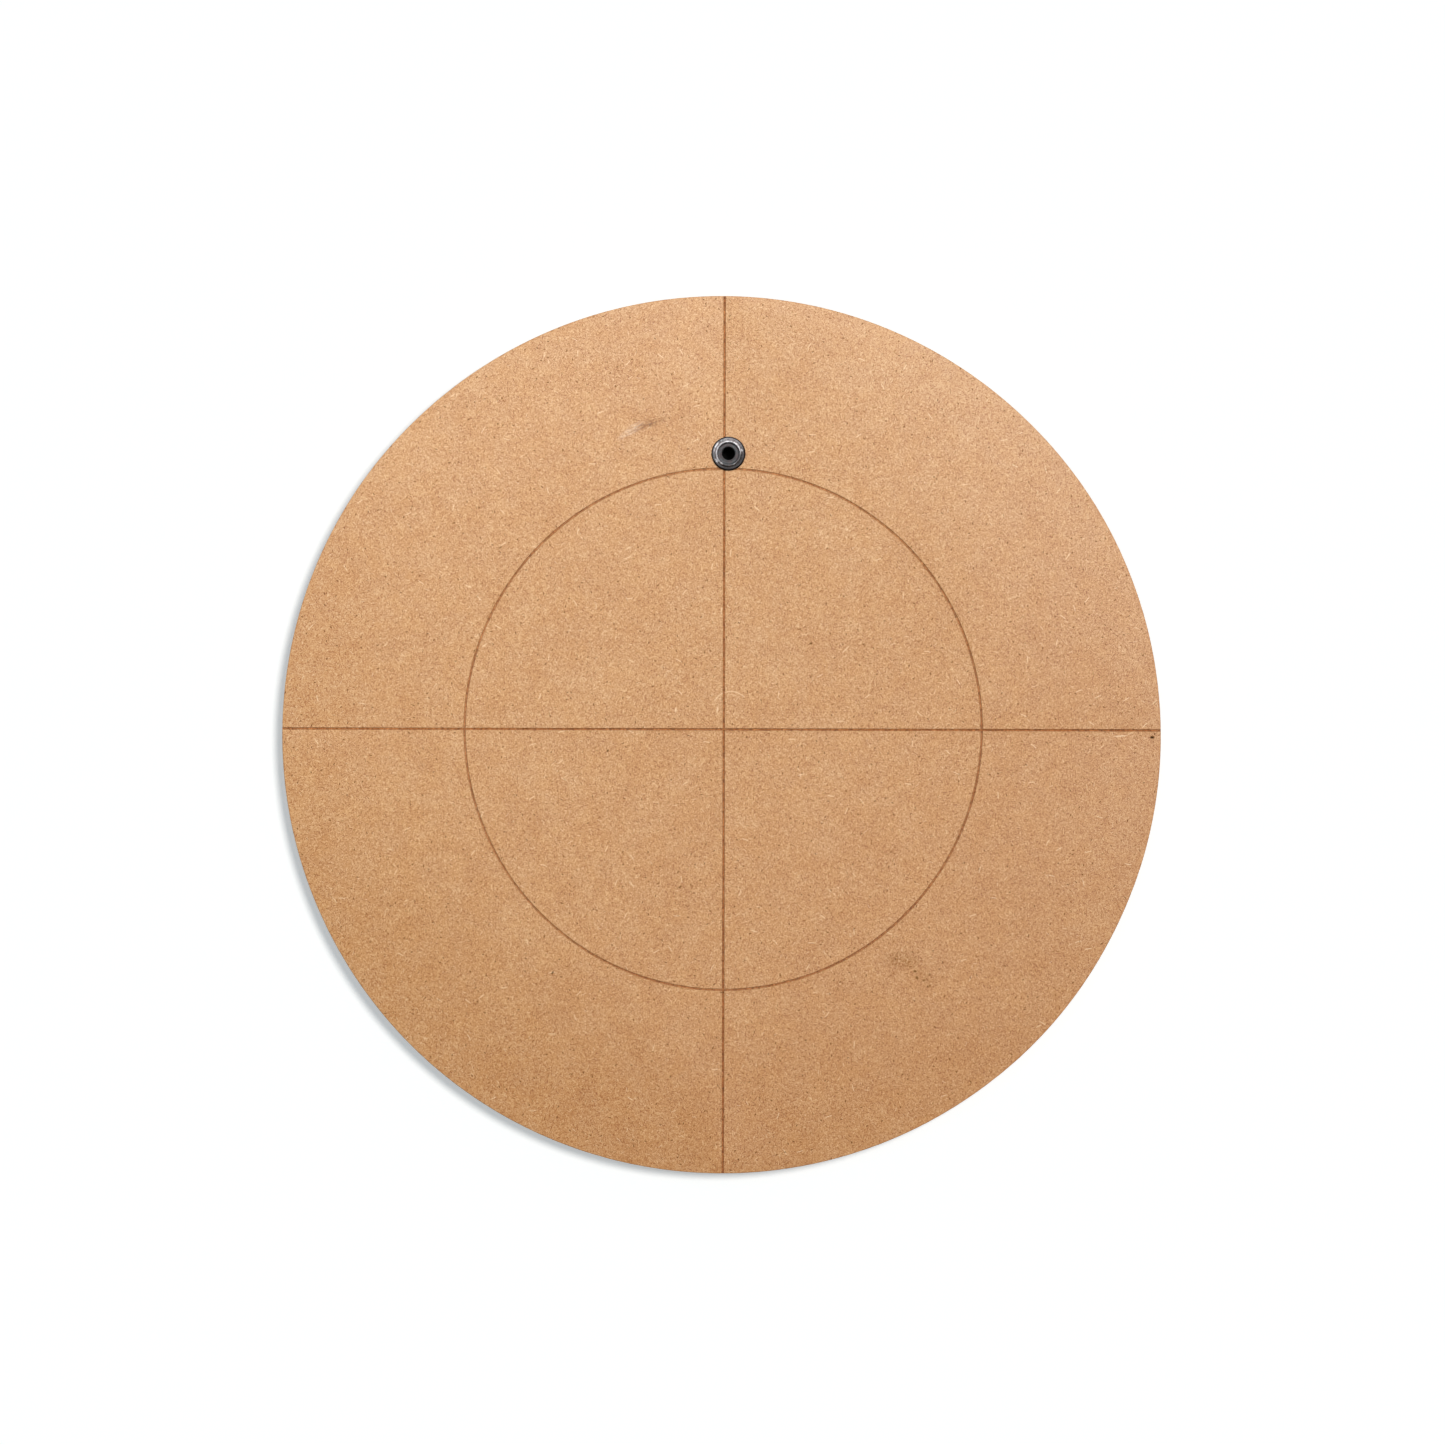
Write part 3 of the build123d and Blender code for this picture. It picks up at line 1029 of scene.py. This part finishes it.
def steel_wear_and_highlights(g, spot, outside, north_west, nicks, fine):
    """1 where the dark steel is rubbed bright and where highlights are painted: on the lip, the flange
    and the scuffs.
    """

    def band(centre, half, soft):
        off = g.gap(spot.radius, centre)
        return g.smooth(g.about(nicks, 0.5, half, off), half, half * soft)

    above = g.math("GREATER_THAN", spot.z, HEAD_SEAT + 0.25)
    # Wear and painted highlight together: the lip and flange are brightest towards the upper left and
    # dim at the lower right.
    lip = g.product(band(4.9, 0.60, 0.3), above, g.smooth(north_west, -0.7, 0.2, 0.10, 0.90))
    flange = g.product(band(5.65, 0.65, 0.5), outside, g.smooth(north_west, -0.6, 0.9, 0.04, 0.26))
    wear = g.math("MULTIPLY", g.math("MAXIMUM", lip, flange), g.smooth(nicks, 0.34, 0.62, 0.15, 1.0))
    wear = g.math("MAXIMUM", wear, g.smooth(fine, 0.66, 0.76, 0.0, 0.25))
    ragged = g.math("MULTIPLY", g.math("SUBTRACT", nicks, 0.5), 1.6)
    for degrees, ring, half_length, half_width, strength in SCUFFS_AND_HIGHLIGHTS:
        turn = math.radians(degrees)
        centre = (ring * math.cos(turn), ring * math.sin(turn))
        mask = mark_mask(g, spot.x, spot.y, *centre, degrees + 90, half_length, half_width, ragged)
        wear = g.math("MAXIMUM", wear, g.math("MULTIPLY", mask, strength))
    return wear


def worn_highlit_steel_material():
    """The dark steel of the head and flange, rubbed bright and painted with highlights on its raised
    edges.

    The bright patches are partly wear and partly painted highlight: most at the upper left, least at
    the lower right.
    """
    material, g, shader = new_material("worn_highlit_dark_steel")
    spot = socket_spot(g)
    north_west = g.vector("DOT_PRODUCT", g.vector("NORMALIZE", spot.away), (-0.5, 0.866, 0.0))
    lathe_lines = g.join(g.math("MULTIPLY", spot.radius, 7.0), g.math("MULTIPLY", spot.z, 3.0), 0.0)
    turned = g.noise(lathe_lines, 1.0, 3, 0.7)
    nicks = g.noise(spot.place, 1.3, 4, 0.7, 0.5)
    fine = g.noise(spot.place, 4.0, 3, 0.7)
    outside = g.smooth(spot.radius, HEAD_RADIUS - 0.05, HEAD_RADIUS + 0.05)
    wear = steel_wear_and_highlights(g, spot, outside, north_west, nicks, fine)
    colour = steel_colour(g, spot, outside, north_west, turned, nicks)
    # Wear and painted highlights both turn the steel bright.
    colour = g.mix(wear, colour, STEEL_BRIGHT)
    # The bore is oxidised and swallows the light. Only the radius is tested, so the barrel's
    # closed lower end, within the same radius, comes out as black.
    inside = g.smooth(spot.radius, BORE_RADIUS + 0.08, BORE_RADIUS + 0.01)
    g.put(shader.inputs["Base Color"], g.mix(inside, colour, BORE_BLACK))
    # Rubbed metal and the painted highlights are matt: they are bright from every side, not only where
    # they mirror a light.
    metal = g.math("MULTIPLY", g.smooth(inside, 0.4, 0.6, 1.0, 0.0), g.blend(wear, 1.0, 0.35))
    g.put(shader.inputs["Metallic"], metal)
    rough = g.blend(wear, g.about(fine, 0.5, 0.3, 0.52), 0.45)
    g.put(shader.inputs["Roughness"], g.blend(inside, rough, 0.95))
    height = g.math("MULTIPLY_ADD", nicks, 1.4, g.math("MULTIPLY", turned, 0.8))
    add_bump(g, shader, height, 0.6, 0.05)
    return material


RUBBER_BLACK = (0.018, 0.018, 0.019)
RUBBER_BLOOM = (0.05, 0.049, 0.047)
RUBBER_DUST = (0.12, 0.11, 0.10)


def rubber_material():
    """Moulded rubber with a grey bloom, dusty where it treads."""
    material, g, shader = new_material("moulded_rubber")
    place, normal = object_mm(g)
    pebble = g.noise(place, 2.4, 3, 0.6)
    bloom = g.noise(place, 0.22, 4, 0.65, 0.5)
    dust = g.noise(place, 6.0, 2, 0.7)
    down = g.smooth(g.split(normal)[2], -0.6, -0.95)
    colour = g.mix(g.smooth(bloom, 0.42, 0.72), RUBBER_BLACK, RUBBER_BLOOM)
    scuffed = g.math("MULTIPLY", down, g.smooth(dust, 0.45, 0.75, 0.1, 0.7))
    g.put(shader.inputs["Base Color"], g.mix(scuffed, colour, RUBBER_DUST))
    g.put(shader.inputs["Roughness"], g.about(bloom, 0.5, 0.3, 0.62))
    add_bump(g, shader, pebble, 0.4, 0.05)
    return material


# ---- The object ----------------------------------------------------------------------------


def dress(piece, material):
    """The piece wears this material alone."""
    piece.data.materials.clear()
    piece.data.materials.append(material)


def add_piece(piece, material, node, slot):
    """Dresses a piece and puts it in its CAD node's place."""
    dress(piece, material)
    place(piece, [node], slot)
    return piece


board = build_board()
unwrap_board(board)
dark_steel = worn_highlit_steel_material()
plated_steel = plated_steel_material()
rubber = rubber_material()
pieces = [
    add_piece(board, fibreboard_material(), "playing_board", "fibreboard"),
    add_piece(build_socket(), dark_steel, "peg_socket", "dark_steel"),
    add_piece(build_flange(), dark_steel, "rim_washer", "dark_steel"),
    add_piece(build_back_washer(), plated_steel, "back_washer", "plated_steel"),
    add_piece(build_nut(), plated_steel, "lock_nut", "plated_steel"),
]
for number in range(1, 5):
    pieces.append(add_piece(build_foot(number), rubber, f"rubber_foot_{number}", "rubber"))

# ---- Floor, light and camera ---------------------------------------------------------------

# The studio is in metres.
FLOOR_HALF = 6.0
BACKDROP_HEIGHT = 4.0
BACKDROP_SEGMENTS = 128


def studio_material(name, base, roughness, glow, strength):
    """A matt material for the studio, the same all over, with a glow of its own."""
    material, _, shader = new_material(name)
    shader.inputs["Base Color"].default_value = rgba(base)
    shader.inputs["Roughness"].default_value = roughness
    shader.inputs["Specular IOR Level"].default_value = 0.0
    shader.inputs["Emission Color"].default_value = rgba(glow)
    shader.inputs["Emission Strength"].default_value = strength
    return material


def add_stage(name, corners, faces, material):
    """A part of the studio, from corners in metres, which isn't part of the object."""
    mesh = bpy.data.meshes.new(name)
    mesh.from_pydata(corners, [], faces)
    stage = bpy.data.objects.new(name, mesh)
    bpy.context.scene.collection.objects.link(stage)
    dress(stage, material)
    return stage


def build_floor():
    """A pale matt floor."""
    signs = ((-1, -1), (1, -1), (1, 1), (-1, 1))
    corners = [(FLOOR_HALF * x, FLOOR_HALF * y, 0.0) for x, y in signs]
    material = studio_material("white_sweep", (0.875, 0.87, 0.87), 0.9, (0.73, 0.90, 1.0), 0.38)
    add_stage("floor", corners, [(0, 1, 2, 3)], material)


def build_backdrop():
    """A round white wall that closes the studio behind the floor, for low views."""
    turns = [2 * math.pi * step / BACKDROP_SEGMENTS for step in range(BACKDROP_SEGMENTS)]
    corners = [
        (FLOOR_HALF * math.cos(turn), FLOOR_HALF * math.sin(turn), z)
        for z in (0.0, BACKDROP_HEIGHT)
        for turn in turns
    ]
    walls = []
    for step in range(BACKDROP_SEGMENTS):
        ahead = (step + 1) % BACKDROP_SEGMENTS
        walls.append((step, ahead, ahead + BACKDROP_SEGMENTS, step + BACKDROP_SEGMENTS))
    material = studio_material("white_backdrop", (0.0, 0.0, 0.0), 0.5, (1.0, 1.0, 1.0), 1.0)
    backdrop = add_stage("backdrop", corners, walls, material)
    # It neither lights nor shades the object: the world's soft light comes through it.
    for ray in ("diffuse", "glossy", "transmission", "volume_scatter", "shadow"):
        setattr(backdrop, "visible_" + ray, False)


def add_light(name, kind, location, target, power, colour, **settings):
    """A light at a place, aimed at another."""
    data = bpy.data.lights.new(name, kind)
    data.energy = power
    data.color = colour
    for key, value in settings.items():
        setattr(data, key, value)
    lamp = bpy.data.objects.new(name, data)
    bpy.context.scene.collection.objects.link(lamp)
    lamp.location = location
    lamp.rotation_mode = "QUATERNION"
    aim = Vector(target) - Vector(location)
    lamp.rotation_quaternion = aim.to_track_quat("-Z", "Y")
    return lamp


def add_lights():
    """A soft sun, and a broad panel for the object alone."""
    # The sun is at the right and slightly above: the drop shadow falls to the lower left.
    sun_colour = (1.0, 0.965, 0.915)
    add_light("key", "SUN", (1.47, 0.97, 4.0), (0, 0, 0), 1.95, sun_colour, angle=math.radians(17))
    # The cool panel is over the top of the board: the playing face is brighter and paler there.
    panel = add_light(
        "top_panel",
        "AREA",
        (-0.12, 0.37, 0.58),
        (-0.11, 0.34, 0),
        3.1,
        (0.92, 0.97, 1.0),
        shape="RECTANGLE",
        size=1.1,
        size_y=0.30,
    )
    panel.visible_camera = False
    # It lights the object alone, so that it casts no second shadow on the floor.
    lit = bpy.data.collections.new("lit_by_panel")
    for piece in pieces:
        lit.objects.link(piece)
    panel.light_linking.receiver_collection = lit


def build_world():
    """Pale light from all round, a little warmer and darker from the foot of the board."""
    world = bpy.data.worlds.new("studio")
    bpy.context.scene.world = world
    world.use_nodes = True
    g = Graph(world.node_tree)
    background = world.node_tree.nodes["Background"]
    direction = g.add("ShaderNodeTexCoord").outputs["Generated"]
    northward = g.smooth(g.split(direction)[1], -0.9, 0.9)
    g.put(background.inputs["Color"], g.mix(northward, (0.70, 0.66, 0.62), (1.0, 1.0, 1.0)))
    background.inputs["Strength"].default_value = 0.30


SENSOR_WIDTH = 36.0
VIEW_WIDTH = 0.5655
CAMERA_HEIGHT = 2.2
CAMERA_TURN = 0.13  # degrees


def add_camera():
    """A camera that looks straight down, a little off the disc's middle and a little turned.

    VIEW_WIDTH is how much it sees across at the playing face.
    """
    data = bpy.data.cameras.new("camera")
    data.sensor_width = SENSOR_WIDTH
    data.lens = SENSOR_WIDTH * CAMERA_HEIGHT / VIEW_WIDTH
    data.clip_start = 0.1
    data.clip_end = 30.0
    camera = bpy.data.objects.new("camera", data)
    bpy.context.scene.collection.objects.link(camera)
    camera.location = (0.0004, 0.00487, BOARD_TOP * MM + CAMERA_HEIGHT)
    camera.rotation_euler = (0.0, 0.0, math.radians(CAMERA_TURN))
    bpy.context.scene.camera = camera


build_floor()
build_backdrop()
add_lights()
build_world()
add_camera()
bpy.context.scene.view_settings.view_transform = "Standard"
bpy.context.scene.view_settings.look = "None"
